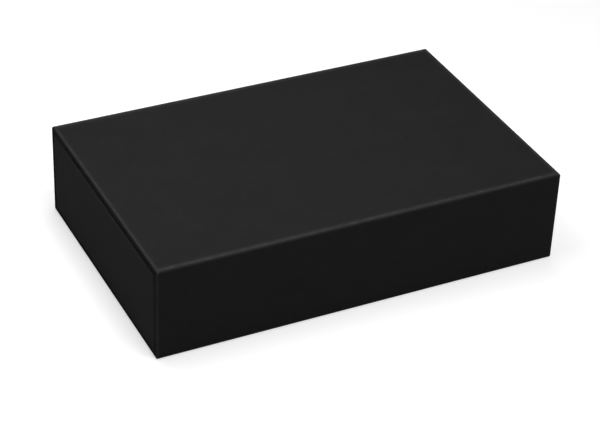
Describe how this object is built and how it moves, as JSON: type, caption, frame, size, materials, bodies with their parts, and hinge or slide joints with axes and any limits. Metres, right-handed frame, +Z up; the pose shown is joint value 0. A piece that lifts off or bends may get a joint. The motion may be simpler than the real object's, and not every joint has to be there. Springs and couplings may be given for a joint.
{
  "type": "sliding drawer gift box",
  "caption": "Wrapped rigid board box: a flat sleeve open at both ends and a full-length tray that slides out of either end.",
  "frame": {"origin": "on the table, under the middle of the sleeve", "axes": "+X along the drawer's slide, +Y across the sleeve to the far side, +Z up"},
  "size_m": [0.225, 0.145, 0.052],
  "materials": {
    "sleeve_paper": "matte black, uncoated fine fibre",
    "tray_paper": "matte black, uncoated fine fibre",
    "greyboard": "raw pressed greyboard",
    "kraft_tape": "matte kraft paper"
  },
  "bodies": {
    "sleeve": {"sleeve_top_board": "greyboard", "sleeve_bottom_board": "greyboard", "sleeve_near_side_board": "greyboard", "sleeve_far_side_board": "greyboard", "sleeve_joint_tape": "kraft_tape", "sleeve_wrap": "sleeve_paper", "sleeve_liner": "sleeve_paper"},
    "drawer": {"tray_base_board": "greyboard", "tray_near_side_board": "greyboard", "tray_far_side_board": "greyboard", "tray_left_end_board": "greyboard", "tray_right_end_board": "greyboard", "tray_corner_stay_1": "kraft_tape", "tray_corner_stay_2": "kraft_tape", "tray_corner_stay_3": "kraft_tape", "tray_corner_stay_4": "kraft_tape", "tray_wrap": "tray_paper", "tray_floor_liner": "tray_paper"}
  },
  "joints": [
    {"name": "drawer_slide", "type": "slide", "parent": "sleeve", "child": "drawer", "axis": [-1, 0, 0], "range_m": [-0.2248, 0.2248]}
  ]
}
